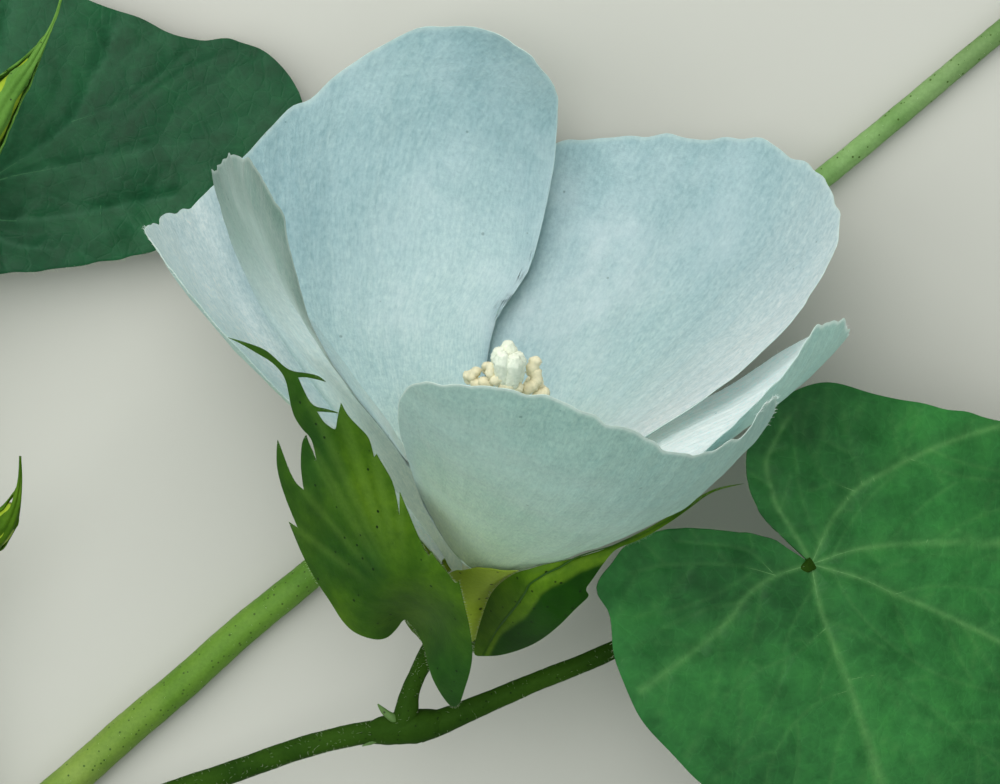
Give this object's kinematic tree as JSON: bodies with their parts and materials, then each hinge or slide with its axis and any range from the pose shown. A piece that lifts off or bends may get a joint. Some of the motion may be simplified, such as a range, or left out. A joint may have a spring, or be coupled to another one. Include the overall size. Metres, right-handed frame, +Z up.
{
  "type": "cotton_flower_branch_cut",
  "caption": "Cut branch of upland cotton lying on its side: one open white flower with fringed green bracts, buds, broad leaves and stems.",
  "frame": {"origin": "middle of the underside of the lying branch, on the ground", "axes": "+X to the large leaf, +Y towards the top of the flower, +Z up off the ground"},
  "size_m": [0.1566, 0.106, 0.086],
  "materials": {
    "stem": "fresh green stem skin with dark gland dots and fine white hairs",
    "bract": "matt green bract with pale veins and black gland dots",
    "leaf": "soft matt leaf with lighter palmate veins",
    "calyx": "smooth yellow-green cup with black gland dots",
    "stamens": "cream anthers and stigma",
    "petal": "thin satin white petal with fine branching veins"
  },
  "bodies": {
    "root": {"main_stem": "stem", "fruiting_branch": "stem", "pedicel": "stem", "petiole_right": "stem", "branch_left": "stem", "petiole_left": "stem", "bud_stalk_left": "stem", "bud_stalk_upper": "stem", "bud_left": "bract", "bud_upper": "bract", "leaf_right": "leaf", "leaf_left": "leaf", "calyx": "calyx", "staminal_column": "stamens", "bract_left": "bract", "bract_right": "bract", "bract_back": "bract", "petal_front": "petal", "petal_right": "petal", "petal_back_right": "petal", "petal_back_left": "petal", "petal_left": "petal"}
  },
  "joints": []
}
